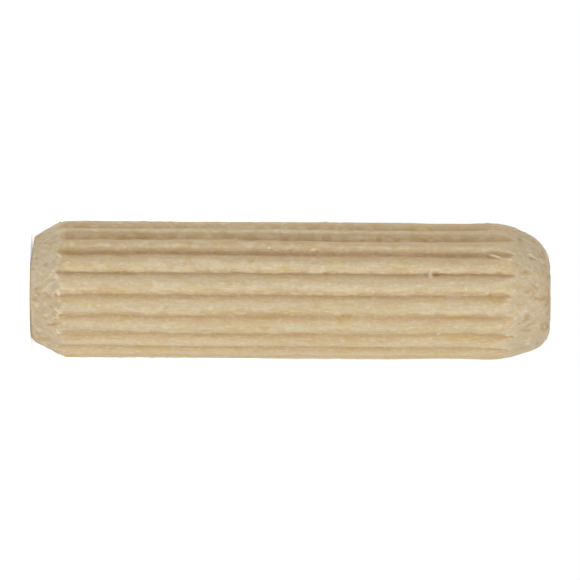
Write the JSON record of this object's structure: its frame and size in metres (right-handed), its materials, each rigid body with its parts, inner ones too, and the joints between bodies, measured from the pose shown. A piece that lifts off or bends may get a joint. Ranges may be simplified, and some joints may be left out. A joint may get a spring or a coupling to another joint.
{
  "type": "fluted dowel pin",
  "caption": "Fluted hardwood dowel pin with a chamfered foot and a domed nose, pressed and glued into round holes to join two boards.",
  "frame": {"origin": "middle of the flat face at the chamfered end, which the pin stands on", "axes": "+Z along the pin's axis, from the chamfered foot to the domed nose; +X towards the side to which the nose sits off centre"},
  "size_m": [0.008, 0.008, 0.0303],
  "materials": {
    "wood": "bare pale hardwood, rough from the flute rollers"
  },
  "bodies": {
    "root": {"dowel_pin": "wood"}
  },
  "joints": []
}
